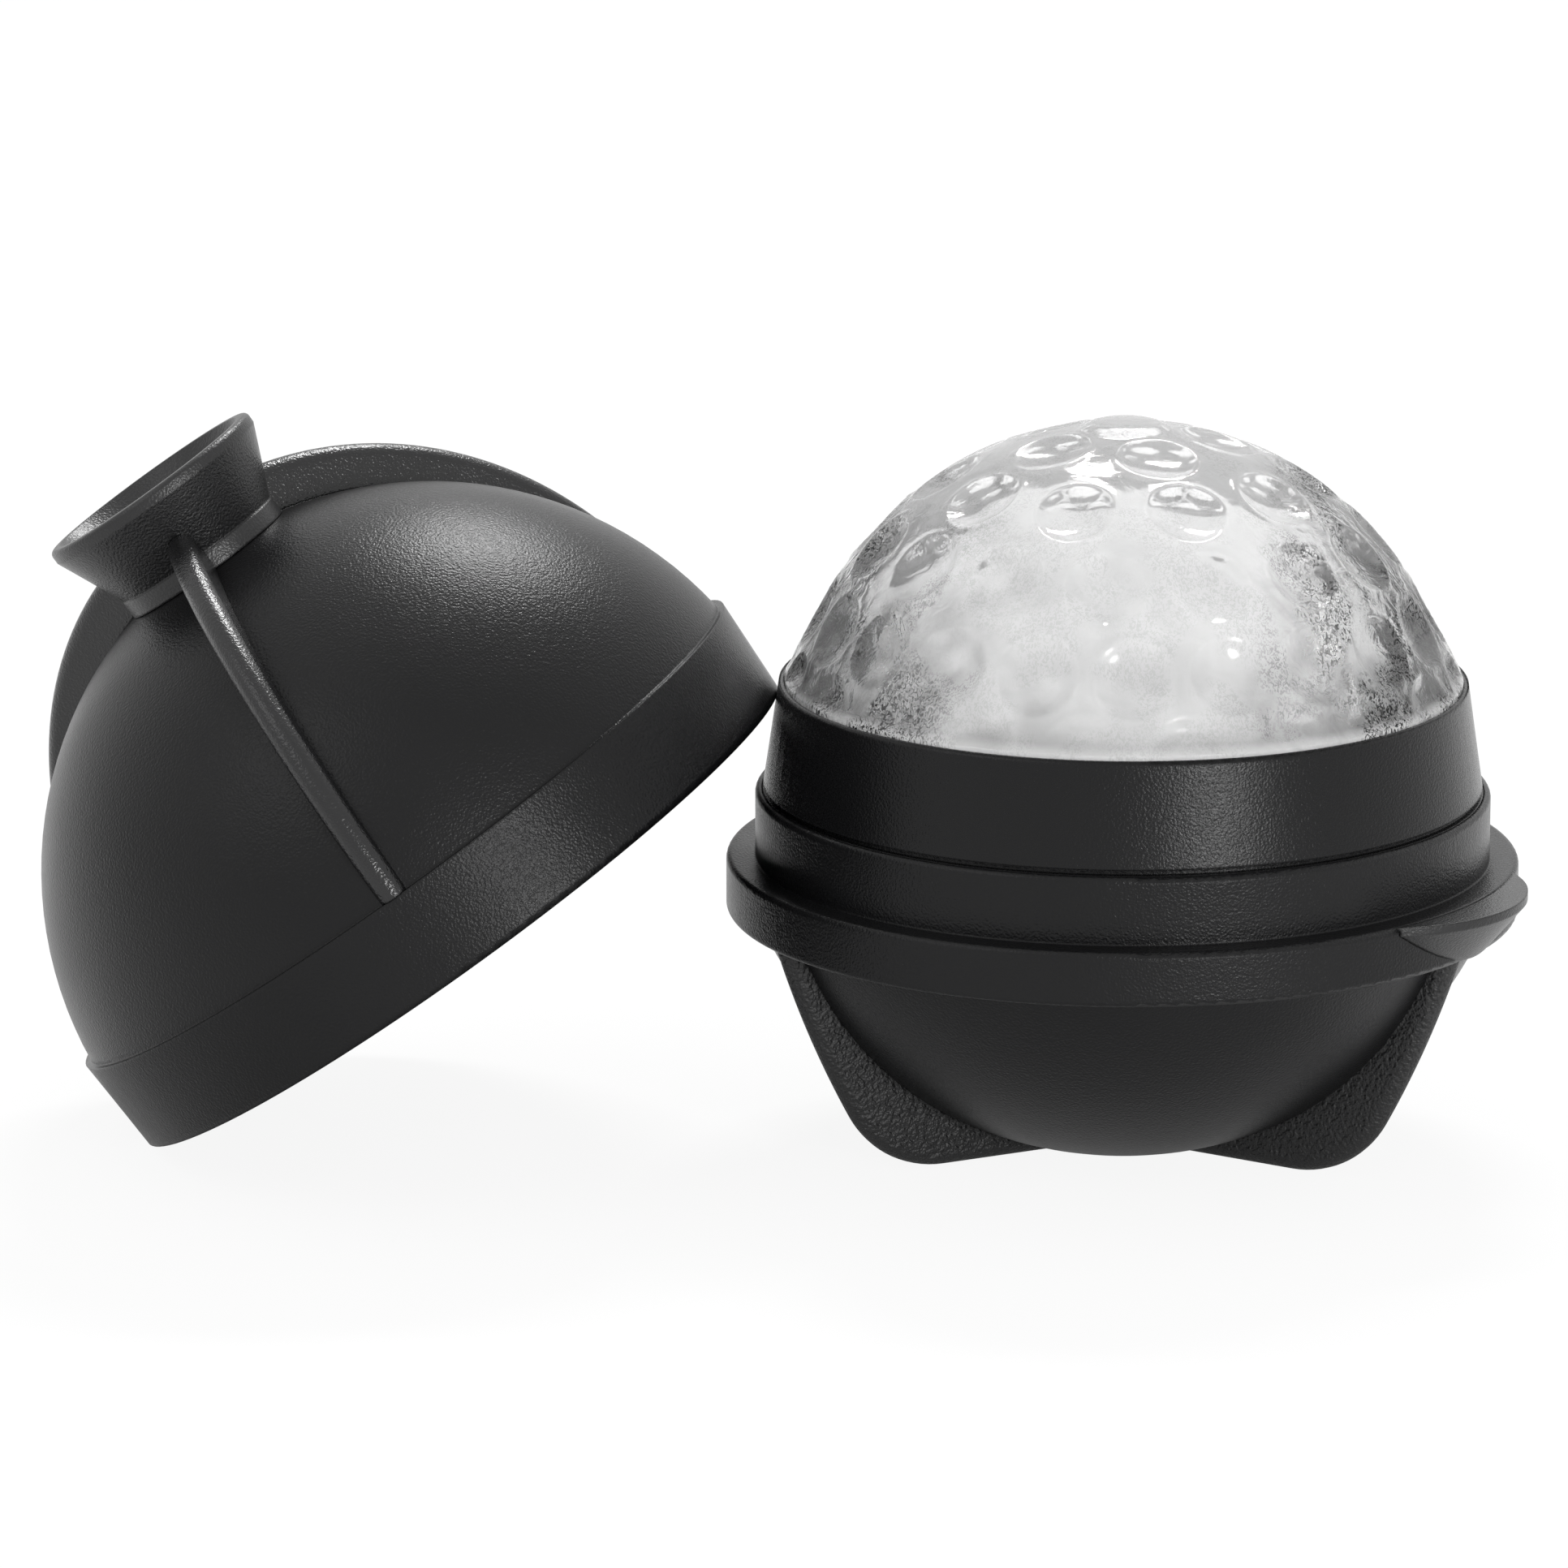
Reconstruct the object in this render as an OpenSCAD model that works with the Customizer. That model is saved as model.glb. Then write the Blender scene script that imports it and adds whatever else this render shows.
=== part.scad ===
// Ice mould for one large ball of ice with golf-ball dimples.
// A base on three feet holds the ball, and its domed cap has been taken off and leans on the base.
// Millimetres. The origin is on the floor, on the axis of the base, with +Z up.

/* [Ice ball] */
// Diameter of the ball of ice
ball_d = 63; // [50:0.5:80]
// Width of one dimple across its edge
dimple_w = 7.6; // [5:0.2:8.4]
// Depth of one dimple
dimple_depth = 0.9; // [0.4:0.1:1.1]
// Rows of dimples from the top of the ball to its first belt
dimple_rows = 4; // [3, 4]
// Height of the nub that the filling hole leaves on the ice
nub_h = 0.6; // [0.2:0.1:1.5]
// Distance of the parting ledge on the ice below the collar's lip
parting_drop = 0.4; // [0.2:0.1:1]
// Diameter of the milky middle of the ice, inside the clear ice
core_d = 36; // [20:0.5:50]

/* [Mould walls] */
// Room between the ice and the liners
ball_gap = 0.15; // [0.1:0.05:0.6]
// Thickness of the soft liners
liner_wall = 2.7; // [2:0.1:4]
// Room between a liner and its shell
liner_fit = 0.1; // [0.05:0.05:0.3]
// Thickness of the hard shells
shell_wall = 2.75; // [2:0.05:4]
// Hairline between pieces that are moulded together
seam = 0.05; // [0.03:0.01:0.1]

/* [Base] */
// Depth by which the bottom of the bowl is flattened to stand on
pad_cut = 0.3; // [0.2:0.1:1]
// Drop of the band's ledge below the middle of the ball
ledge_drop = 2.8; // [1:0.1:5]
// Height of the band above the flange
band_h = 6.3; // [4:0.1:9]
// Thickness of the band round the liner
band_wall = 0.6; // [0.6:0.1:2]
// Width of the flange beyond the band
flange_w = 2.7; // [2:0.1:5]
// Thickness of the flange
flange_t = 5.1; // [3:0.1:7]
// Height of the liner's collar above the band
collar_h = 10.2; // [6:0.1:14]
// Thickness of the collar at the band
collar_wall = 1.95; // [1.5:0.05:2.5]
// Thickness of the collar at its lip
lip_wall = 0.45; // [0.4:0.05:1.1]
// Height of the groove round the collar's foot
groove_h = 0.5; // [0.3:0.1:1]
// Depth of that groove
groove_depth = 0.6; // [0.3:0.1:0.8]

/* [Feet and tab] */
// Thickness of a foot fin
foot_t = 2.7; // [2:0.1:4]
// Inset of a foot fin's edge from the flange's edge, just under the flange
foot_inset = 0.8; // [0.5:0.1:1.5]
// Inset of a foot fin's edge from the flange's edge, just above its round toe
toe_inset = 8.6; // [7:0.1:10]
// Height of that point above the floor
foot_toe_z = 5.3; // [4.5:0.1:6.5]
// Radius of the fin's outer edge, seen from the side
foot_edge_r = 100; // [80:5:140]
// Radius of the round toe
foot_toe_r = 11; // [9:0.5:12]
// Bearing of the back foot
foot_bearing = 87; // [60:1:120]
// Bearing of the pull tab
tab_bearing = -31; // [-60:1:0]
// Radius of the pull tab's outline
tab_r = 15; // [12:0.5:20]
// Distance of the tab's edge beyond the flange
tab_reach = 3.6; // [2:0.1:5]
// Thickness of the tab's edge
tab_t = 0.8; // [0.6:0.1:2.5]

/* [Cap] */
// Room between the skirt and the collar when the cap is on
cap_slip = 0.3; // [0.3:0.05:0.8]
// Thickness of the skirt at its rim
skirt_wall = 2.6; // [2:0.1:4]
// Height of the skirt
skirt_h = 9.3; // [7:0.1:10]
// Rise of the dome's middle above the middle of the ball
dome_rise = 2.2; // [0.5:0.1:4]
// Amount by which the dome's radius is less than the bowl's
dome_less = 0.7; // [0.2:0.1:1]
// Width of the step from the dome out to the skirt
skirt_step = 0.65; // [0.2:0.05:1]
// Room between the cap's liner and the collar's lip when the cap is on
seal_gap = 0.2; // [0.1:0.05:0.4]
// Thickness of a rib
rib_t = 2.8; // [2:0.1:4]
// Distance of a rib's crest beyond the skirt's top edge
rib_lift = 0.3; // [0.1:0.1:1.5]
// Bearing of the front rib round the cap
rib_bearing = -89; // [-120:1:-60]

/* [Funnel] */
// Radius of the funnel's mouth
funnel_lip_r = 11.3; // [10:0.1:14]
// Radius of the funnel where it stands on the dome
funnel_foot_r = 8; // [7:0.1:10]
// Height of the funnel above the dome
funnel_h = 8.6; // [8:0.1:16]
// Thickness of the funnel's wall at its mouth
funnel_wall = 1.1; // [0.8:0.1:1.8]
// Radius of the neck that goes through the dome
neck_r = 5.5; // [5.2:0.1:6.5]
// Radius of the filling hole
fill_r = 4.4; // [3:0.1:4.5]

/* [Cap lying beside the base] */
// Lean of the cap away from the base
cap_lean = 35.5; // [34:0.5:42]
// Tilt of the cap towards the back
cap_back = 4.5; // [0:0.5:6]
// Room between the leaning cap's rim and the collar
cap_clear = 0.2; // [0.2:0.05:1]

/* [Hidden] */
$fn = 96;
fine = 180;
edge_fn = 32;
dimple_fn = 48;
far = 200;
third = 120;
hard_black = [0.06, 0.06, 0.065];
soft_black = [0.1, 0.1, 0.105];
ice_white = [0.86, 0.89, 0.91, 0.7];
milk_white = [0.93, 0.94, 0.95];

// Radii from the ice outwards
core_r = core_d / 2;
ball_r = ball_d / 2;
cavity_r = ball_r + ball_gap;
liner_r = cavity_r + liner_wall;
shell_in_r = liner_r + liner_fit;
shell_r = shell_in_r + shell_wall;

// Radii and heights of the base
collar_r = cavity_r + collar_wall;
lip_r = cavity_r + lip_wall;
seat_r = collar_r + liner_fit;
band_r = seat_r + band_wall;
flange_r = band_r + flange_w;
ball_z = shell_r - pad_cut;
ledge_z = ball_z - ledge_drop;
flange_top = ledge_z - band_h;
flange_low = flange_top - flange_t;
lip_z = ledge_z + collar_h;
edge_r = 0.5;
lip_round = 0.8 * lip_wall;

// Parting ledge on the ice, inside the collar
ledge_inset = 0.1;
parting_h = lip_z - parting_drop - ball_z;
parting_round = 0.3;

// Nub on top of the ice, from the water that stood in the filling hole
nub_r = fill_r - ball_gap;
nub_round = 0.3;

// Cap sizes, from the place of the middle of the ball when the cap is on
rim_z = -ledge_drop;
skirt_top = rim_z + skirt_h;
skirt_in_r = collar_r + cap_slip;
rim_r = skirt_in_r + skirt_wall;
rim_round = 0.6;
dome_r = shell_r - dome_less;
dome_in_r = shell_in_r - dome_less;
cap_liner_r = liner_r - dome_less;
dome_top = dome_rise + dome_r;
skirt_top_r = sqrt(dome_r * dome_r - pow(skirt_top - dome_rise, 2)) + skirt_step;
seal_z = lip_z - ball_z + seal_gap;
rib_r = skirt_top_r + rib_lift;
rib_sweep = 100;

// Funnel sizes, from the same middle
funnel_top = dome_top + funnel_h;
funnel_ring_out = 0.5;
funnel_ring_r = funnel_foot_r + funnel_ring_out;
funnel_ring_h = 0.8;
funnel_lip_h = 1.2;
funnel_cone_h = funnel_h - funnel_lip_h;
throat_rise = 0.8;
neck_fit = 0.1;
neck_low = cavity_r;
throat_z = dome_top + throat_rise;

// A fin's outer edge is an arc through its top and toe points
// The toe is a smaller arc that just crosses the first arc and the floor
toe_proud = 0.15;
toe_sink = 0.1;
foot_run = 12;
foot_sweep = 60;
foot_top_z = flange_low - seam;
foot_top_reach = flange_r - foot_inset;
foot_toe_reach = flange_r - toe_inset;
foot_chord = [foot_top_reach - foot_toe_reach, foot_top_z - foot_toe_z];
foot_half = norm(foot_chord) / 2;
foot_in = sqrt(foot_edge_r * foot_edge_r - foot_half * foot_half) / (2 * foot_half);
foot_mid = [foot_top_reach + foot_toe_reach, foot_top_z + foot_toe_z] / 2;
foot_centre = foot_mid + foot_in * [-foot_chord[1], foot_chord[0]];
toe_z = foot_toe_r - toe_sink;
toe_gap = foot_edge_r - foot_toe_r + toe_proud;
toe_x = foot_centre[0] + sqrt(toe_gap * toe_gap - pow(foot_centre[1] - toe_z, 2));
toe_bearing = atan2(toe_z - foot_centre[1], toe_x - foot_centre[0]);
toe_turn = acos((foot_edge_r * foot_edge_r + toe_gap * toe_gap - foot_toe_r * foot_toe_r)
                / (2 * foot_edge_r * toe_gap));
toe_top = foot_centre[1] + foot_edge_r * sin(toe_bearing - toe_turn);

// The dimples are cut by balls whose caps have the dimple's width and depth
dimple_r = (dimple_w * dimple_w / 4 + dimple_depth * dimple_depth) / (2 * dimple_depth);
dimple_out = ball_r - dimple_depth + dimple_r;
// Their rows follow the five-sided order of a golf ball: five more in each row, then even belts
sides = 5;
belt_tilt = atan(2);
belt_step = (180 - 2 * belt_tilt) / dimple_rows;
last_row = 3 * dimple_rows;
function from_end(row) = min(row, last_row - row);
function row_count(row) = max(1, sides * min(from_end(row), dimple_rows));
function row_turn(row) = min(max(row - dimple_rows, 0), dimple_rows) * 180 / sides / dimple_rows;
function row_tilt(row) = row < dimple_rows ? row * belt_tilt / dimple_rows
    : row > 2 * dimple_rows ? 180 - (last_row - row) * belt_tilt / dimple_rows
    : belt_tilt + (row - dimple_rows) * belt_step;
ball_rows = [1 : last_row];
cap_rows = [1 : dimple_rows];

// The cup's bumps start where they still let the ball out, at this angle from the top of the ball
release_angle = 118;
cup_rows = [for (row = ball_rows) if (row_tilt(row) > release_angle) row];

// The cap stands on the lowest point of its rim, and its highest point leans on the collar's left side
// Its rim is a tube of radius rim_round, bent round a ring
ring_r = rim_r - rim_round;
ring_z = rim_z + rim_round;
cap_axis = [-sin(cap_lean), cos(cap_lean) * sin(cap_back), cos(cap_lean) * cos(cap_back)];
cap_flat = norm([cap_axis[0], cap_axis[1]]);
cap_z = ring_r * cap_flat - ring_z * cap_axis[2] + rim_round;
touch_z = min(lip_z, cap_z + ring_r * cap_flat + ring_z * cap_axis[2] - rim_round);
touch_r = lip_r + (collar_r - lip_r) * (lip_z - touch_z) / collar_h;
touch_reach = ring_z - ring_r * cap_axis[2] / cap_flat;
cap_x = -touch_r - rim_round - cap_clear - touch_reach * cap_axis[0];
cap_y = -touch_reach * cap_axis[1];

// What rounds the corner of a section: the square at the corner, less the circle inside it
module corner(x, z, r, right, up) {
    translate([x, z]) difference() {
        translate([right ? -r : 0, up ? -r : 0]) square(r);
        translate([right ? -r : r, up ? -r : r]) circle(r);
    }
}

module disc(r, z) translate([0, z]) circle(r, $fn = fine);

module slab(r, low, high) translate([0, low]) square([r, high - low]);

module right_half() intersection() {
    children();
    translate([0, -far]) square([far, 2 * far]);
}

// One cutting ball for each dimple in these rows
module dimples(rows, r) {
    for (row = rows, i = [1 : row_count(row)])
        rotate([0, row_tilt(row), row_turn(row) + i * 360 / row_count(row)]) translate([0, 0, dimple_out])
            sphere(r, $fn = dimple_fn);
}

module base_shell() color(hard_black) rotate_extrude($fn = fine) difference() {
    union() {
        intersection() {
            disc(shell_r, ball_z);
            slab(far, 0, flange_top);
        }
        slab(flange_r, flange_low, flange_top);
        slab(band_r, flange_low, ledge_z);
    }
    intersection() {
        disc(shell_in_r, ball_z);
        slab(seat_r, 0, ball_z);
    }
    slab(seat_r, ball_z - sqrt(shell_in_r * shell_in_r - seat_r * seat_r), far);
    corner(flange_r, flange_top, edge_r, true, true);
    corner(flange_r, flange_low, edge_r, true, false);
    corner(band_r, ledge_z, edge_r, true, true);
    translate([-far, -far]) square([far, 2 * far]);
}

module foot_edge() translate(concat(foot_centre, 0)) rotate([0, 0, toe_bearing - foot_run])
    rotate_extrude(angle = foot_sweep, $fn = fine)
        translate([foot_edge_r - foot_t / 2, 0]) circle(foot_t / 2, $fn = edge_fn);

module toe_corner() difference() {
    translate([toe_x, -foot_t]) square([far, foot_t + toe_top]);
    translate([toe_x, toe_z]) circle(foot_toe_r);
}

// A flat fin with a round outer edge, seated against the bowl and the underside of the flange
module foot(bearing) color(hard_black) rotate([0, 0, bearing]) difference() {
    rotate([90, 0, 0]) difference() {
        union() {
            translate([0, 0, -foot_t / 2]) linear_extrude(foot_t)
                translate(foot_centre) circle(foot_edge_r - foot_t / 2, $fn = 2 * fine);
            foot_edge();
        }
        translate([0, 0, -foot_t]) linear_extrude(2 * foot_t) toe_corner();
    }
    translate([0, 0, ball_z]) sphere(shell_r + seam, $fn = fine);
    translate([-far, -far, foot_top_z]) cube(2 * far);
    translate([-far, -far, -2 * far]) cube(2 * far);
    translate([-2 * far, -far, -far]) cube(2 * far);
}

module foot_back() foot(foot_bearing);
module foot_front_left() foot(foot_bearing + third);
module foot_front_right() foot(foot_bearing - third);

module pull_tab() color(hard_black) rotate([0, 0, tab_bearing]) difference() {
    translate([flange_r + tab_reach - tab_r, 0, 0]) {
        translate([0, 0, flange_top - tab_t]) cylinder(tab_t, r = tab_r);
        translate([0, 0, flange_low]) cylinder(flange_t - tab_t, tab_r - tab_reach, tab_r);
    }
    rotate_extrude($fn = fine) difference() {
        slab(flange_r + seam, 0, flange_top + seam);
        corner(flange_r + seam, flange_top + seam, edge_r, true, true);
    }
}

module collar_section() {
    polygon([[0, ledge_z], [collar_r, ledge_z], [lip_r, lip_z], [0, lip_z]]);
}

module base_liner() color(soft_black) difference() {
    rotate_extrude($fn = fine) difference() {
        union() {
            intersection() {
                disc(liner_r, ball_z);
                slab(collar_r, 0, ledge_z);
            }
            slab(collar_r, ball_z - sqrt(liner_r * liner_r - collar_r * collar_r), ledge_z);
            collar_section();
        }
        slab(cavity_r, ball_z, far);
        translate([collar_r - groove_depth, ledge_z]) square([far, groove_h]);
        corner(lip_r, lip_z, lip_round, true, true);
        translate([-far, -far]) square([far, 2 * far]);
    }
    translate([0, 0, ball_z]) difference() {
        sphere(cavity_r, $fn = fine);
        dimples(cup_rows, dimple_r - ball_gap);
    }
}

module ice_ball() color(ice_white) translate([0, 0, ball_z]) difference() {
    rotate_extrude($fn = fine) right_half() difference() {
        union() {
            disc(ball_r, 0);
            slab(ball_r - ledge_inset, 0, parting_h);
            slab(nub_r, 0, ball_r + nub_h);
        }
        corner(ball_r - ledge_inset, parting_h, parting_round, true, true);
        corner(nub_r, ball_r + nub_h, nub_round, true, true);
    }
    dimples(ball_rows, dimple_r);
    sphere(core_r + seam, $fn = fine);
}

module ice_core() color(milk_white) translate([0, 0, ball_z]) sphere(core_r, $fn = fine);

// Carries what is drawn round the middle of the dome to where the cap leans
module on_cap() translate([cap_x, cap_y, cap_z]) rotate([-cap_back, 0, 0]) rotate([0, -cap_lean, 0])
    children();

module cap_shell() color(hard_black) on_cap() rotate_extrude($fn = fine) difference() {
    union() {
        intersection() {
            disc(dome_r, dome_rise);
            slab(far, skirt_top, far);
        }
        polygon([[0, rim_z], [rim_r, rim_z], [skirt_top_r, skirt_top], [0, skirt_top]]);
    }
    intersection() {
        disc(dome_in_r, dome_rise);
        slab(far, dome_rise, far);
    }
    slab(skirt_in_r, -far, dome_rise);
    slab(neck_r + neck_fit, 0, far);
    corner(rim_r, rim_z, rim_round, true, false);
    translate([-far, -far]) square([far, 2 * far]);
}

module funnel_cone(room) {
    translate([0, 0, dome_top]) cylinder(funnel_cone_h, funnel_foot_r + room, funnel_lip_r + room);
    cylinder(dome_top + funnel_ring_h + room, r = funnel_ring_r + room);
}

// A fin over the dome with a round crest, whose arc is centred on the axis level with the skirt's top
module rib(bearing) color(hard_black) on_cap() rotate([0, 0, bearing]) difference() {
    translate([0, 0, skirt_top]) rotate([90, 0, 0]) {
        translate([0, 0, -rib_t / 2]) linear_extrude(rib_t) circle(rib_r - rib_t / 2, $fn = fine);
        rotate_extrude(angle = rib_sweep, $fn = fine)
            translate([rib_r - rib_t / 2, 0]) circle(rib_t / 2, $fn = edge_fn);
    }
    translate([0, 0, dome_rise]) sphere(dome_r + seam, $fn = fine);
    funnel_cone(seam);
    translate([-far, -far, skirt_top + seam - 2 * far]) cube(2 * far);
    translate([-far, -far, -far]) cube([far, 2 * far, 2 * far]);
}

module rib_front() rib(rib_bearing);
module rib_right() rib(rib_bearing + third);
module rib_left() rib(rib_bearing - third);

module fill_funnel() color(hard_black) on_cap() rotate_extrude($fn = fine) difference() {
    union() {
        slab(neck_r, neck_low, dome_top + funnel_ring_h);
        difference() {
            union() {
                slab(funnel_ring_r, dome_rise, dome_top + funnel_ring_h);
                polygon([[0, dome_top], [funnel_foot_r, dome_top], [funnel_lip_r, dome_top + funnel_cone_h],
                         [funnel_lip_r, funnel_top], [0, funnel_top]]);
            }
            disc(dome_r + seam, dome_rise);
        }
    }
    slab(fill_r, 0, far);
    polygon([[0, throat_z], [fill_r, throat_z], [funnel_lip_r - funnel_wall, funnel_top], [0, funnel_top]]);
    corner(funnel_lip_r, funnel_top, edge_r, true, true);
    translate([-far, -far]) square([far, 2 * far]);
}

module cap_liner() color(soft_black) on_cap() difference() {
    rotate_extrude($fn = fine) right_half() difference() {
        intersection() {
            disc(cap_liner_r, dome_rise);
            slab(far, seal_z, far);
        }
        slab(neck_r + neck_fit, 0, far);
    }
    difference() {
        sphere(cavity_r, $fn = fine);
        dimples(cap_rows, dimple_r - ball_gap);
    }
}

base_shell();
foot_back();
foot_front_left();
foot_front_right();
pull_tab();
base_liner();
ice_ball();
ice_core();
cap_shell();
rib_front();
rib_right();
rib_left();
fill_funnel();
cap_liner();
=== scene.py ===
# %% [markdown]
# # A mould for one large ball of ice
# The object is a round base on three fins, a ball of ice with golf-ball dimples, and a domed cap that has
# been taken off and leans on the base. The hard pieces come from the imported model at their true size. This
# lesson gives them their finish, and makes the ice as what it is: clear at its skin and milky in its middle.

# %% Load the frame
import math

import bpy
import numpy as np
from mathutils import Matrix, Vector


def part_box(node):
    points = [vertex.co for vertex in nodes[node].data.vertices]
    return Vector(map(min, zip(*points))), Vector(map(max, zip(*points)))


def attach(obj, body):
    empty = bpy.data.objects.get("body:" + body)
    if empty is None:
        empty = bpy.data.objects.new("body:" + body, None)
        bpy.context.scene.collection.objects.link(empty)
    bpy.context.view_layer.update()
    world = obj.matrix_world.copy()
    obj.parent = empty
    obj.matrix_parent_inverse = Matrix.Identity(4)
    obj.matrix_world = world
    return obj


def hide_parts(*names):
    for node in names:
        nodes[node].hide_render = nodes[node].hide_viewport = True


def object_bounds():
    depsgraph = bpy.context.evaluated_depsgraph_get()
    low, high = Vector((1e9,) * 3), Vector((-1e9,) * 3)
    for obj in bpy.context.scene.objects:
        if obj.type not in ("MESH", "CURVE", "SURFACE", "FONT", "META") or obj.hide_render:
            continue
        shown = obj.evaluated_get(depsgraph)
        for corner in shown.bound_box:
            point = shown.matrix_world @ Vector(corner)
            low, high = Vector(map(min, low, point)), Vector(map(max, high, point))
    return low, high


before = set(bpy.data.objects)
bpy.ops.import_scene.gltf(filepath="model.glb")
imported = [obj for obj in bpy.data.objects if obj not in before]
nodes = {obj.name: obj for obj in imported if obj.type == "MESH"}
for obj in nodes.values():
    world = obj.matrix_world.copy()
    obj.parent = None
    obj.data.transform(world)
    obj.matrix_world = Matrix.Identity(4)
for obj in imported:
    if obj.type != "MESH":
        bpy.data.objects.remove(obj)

cad_low, cad_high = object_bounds()
scene = bpy.context.scene
ball_middle = sum(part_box("ice_core"), Vector()) / 2

# %% [markdown]
# ## Units, colours and nodes
# Blender works in metres and the object is known in millimetres, so one factor turns the one into the other.
# Colours are written as sRGB hex values, as they are read off a picture, and one function turns them to the
# linear values that the sockets hold. One more function adds a node with its settings and its links, which
# keeps each material short enough to read from top to bottom.

# %% Helpers for values and nodes
MM = 0.001
WHITE = "#ffffff"


def linear(colour):
    """The linear RGBA of an sRGB hex colour such as #1a1a1b."""
    channels = [int(colour[i:i + 2], 16) / 255 for i in (1, 3, 5)]
    return [c / 12.92 if c <= 0.04045 else ((c + 0.055) / 1.055) ** 2.4 for c in channels] + [1]


def add(tree, kind, inputs=None, **settings):
    """Adds one node, with its settings, and with a value or a link for each socket that is named."""
    made = tree.nodes.new(kind)
    for name, value in settings.items():
        setattr(made, name, value)
    for name, value in (inputs or {}).items():
        if isinstance(value, bpy.types.NodeSocket):
            tree.links.new(value, made.inputs[name])
        else:
            made.inputs[name].default_value = value
    return made


def new_material(name):
    """An empty node material, and its tree."""
    material = bpy.data.materials.new(name)
    material.use_nodes = True
    material.node_tree.nodes.clear()
    return material, material.node_tree


def per_metre(size_mm):
    """The scale at which a pattern's cells have this size."""
    return 1 / (size_mm * MM)


print("helpers: white is", linear(WHITE)[:3])

# %% [markdown]
# ## Camera
# The photograph looks down on the object by 14 degrees, from far away, so that its edges hardly converge. The
# lens could be found by trial, but it also follows from how many pixels a millimetre takes up in the picture
# at that distance, and then it stays right when the camera is moved nearer or further off.

# %% Camera
PHOTO_WIDTH_PX = 1932
PX_PER_MM = 13.2
CAMERA_DISTANCE_MM = 900
CAMERA_HEIGHT_ANGLE = math.radians(14)
CAMERA_SENSOR_MM = 36
CAMERA_REACH_M = 20
LOOK_AT_MM = (-31.6, 0, 34.3)

look_at = Vector(LOOK_AT_MM) * MM
towards_camera = Vector((0, -math.cos(CAMERA_HEIGHT_ANGLE), math.sin(CAMERA_HEIGHT_ANGLE)))
camera = bpy.data.objects.new("camera", bpy.data.cameras.new("camera"))
camera.location = look_at + towards_camera * CAMERA_DISTANCE_MM * MM
camera.rotation_euler = towards_camera.to_track_quat("Z", "Y").to_euler()
camera.data.sensor_width = CAMERA_SENSOR_MM
camera.data.lens = CAMERA_SENSOR_MM * PX_PER_MM * CAMERA_DISTANCE_MM / PHOTO_WIDTH_PX
camera.data.clip_end = CAMERA_REACH_M
scene.collection.objects.link(camera)
scene.camera = camera
scene.view_settings.view_transform = "Standard"
print("camera: lens", round(camera.data.lens, 1), "mm")

# %% [markdown]
# ## Black polypropylene
# The shells, fins, ribs, pull tab and funnel are moulded in black polypropylene, in a mould whose steel was
# spark-eroded. That leaves a fine even grain that breaks up each highlight into specks. Polypropylene has an
# IOR near 1.49 and a satin surface. The grain could be cut into the mesh, but noise as bump costs less and
# holds up close by. A real grain is about 0.1 mm wide, too fine to show here, so it is drawn coarser.

# %% Moulded polypropylene
PLASTIC_DARK = "#0c0c0d"
PLASTIC_LIGHT = "#131314"
PLASTIC_IOR = 1.49
PATCH_MM = 14
PATCH_RANGE = (0.3, 0.7)
GLOSS_WANDER = 0.03
# Both are coarser than the real grain, so that it shows
FINE_GRAIN_MM = 0.24
COARSE_GRAIN_MM = 0.4
EDGE_ROUND_MM = 0.3
EDGE_SAMPLES = 6


def moulded_polypropylene(name, grain_mm, grain_depth_mm, roughness, gloss_level):
    """Black polypropylene with the grain of a spark-eroded mould."""
    material, tree = new_material(name)
    place = add(tree, "ShaderNodeTexCoord").outputs["Object"]
    # Faint patches keep a wide dark surface from looking like one flat colour
    patch = add(tree, "ShaderNodeTexNoise", {"Vector": place, "Scale": per_metre(PATCH_MM), "Detail": 3})
    colour = add(tree, "ShaderNodeValToRGB", {"Fac": patch.outputs["Fac"]})
    colour.color_ramp.elements[0].color = linear(PLASTIC_DARK)
    colour.color_ramp.elements[1].color = linear(PLASTIC_LIGHT)
    gloss = add(tree, "ShaderNodeMapRange", {
        "Value": patch.outputs["Fac"], "From Min": PATCH_RANGE[0], "From Max": PATCH_RANGE[1],
        "To Min": roughness - GLOSS_WANDER, "To Max": roughness + GLOSS_WANDER})
    # The grain gives specks in the highlights, and the rounded edges catch a thin line of light
    grain = add(tree, "ShaderNodeTexNoise", {
        "Vector": place, "Scale": per_metre(grain_mm), "Detail": 1, "Roughness": 0.5})
    edge = add(tree, "ShaderNodeBevel", {"Radius": EDGE_ROUND_MM * MM}, samples=EDGE_SAMPLES)
    bump = add(tree, "ShaderNodeBump", {
        "Height": grain.outputs["Fac"], "Strength": 1, "Distance": grain_depth_mm * MM,
        "Normal": edge.outputs["Normal"]})
    plastic = add(tree, "ShaderNodeBsdfPrincipled", {
        "Base Color": colour.outputs["Color"], "Roughness": gloss.outputs["Result"],
        "Normal": bump.outputs["Normal"], "IOR": PLASTIC_IOR, "Specular IOR Level": gloss_level})
    add(tree, "ShaderNodeOutputMaterial", {"Surface": plastic.outputs["BSDF"]})
    return material


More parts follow.
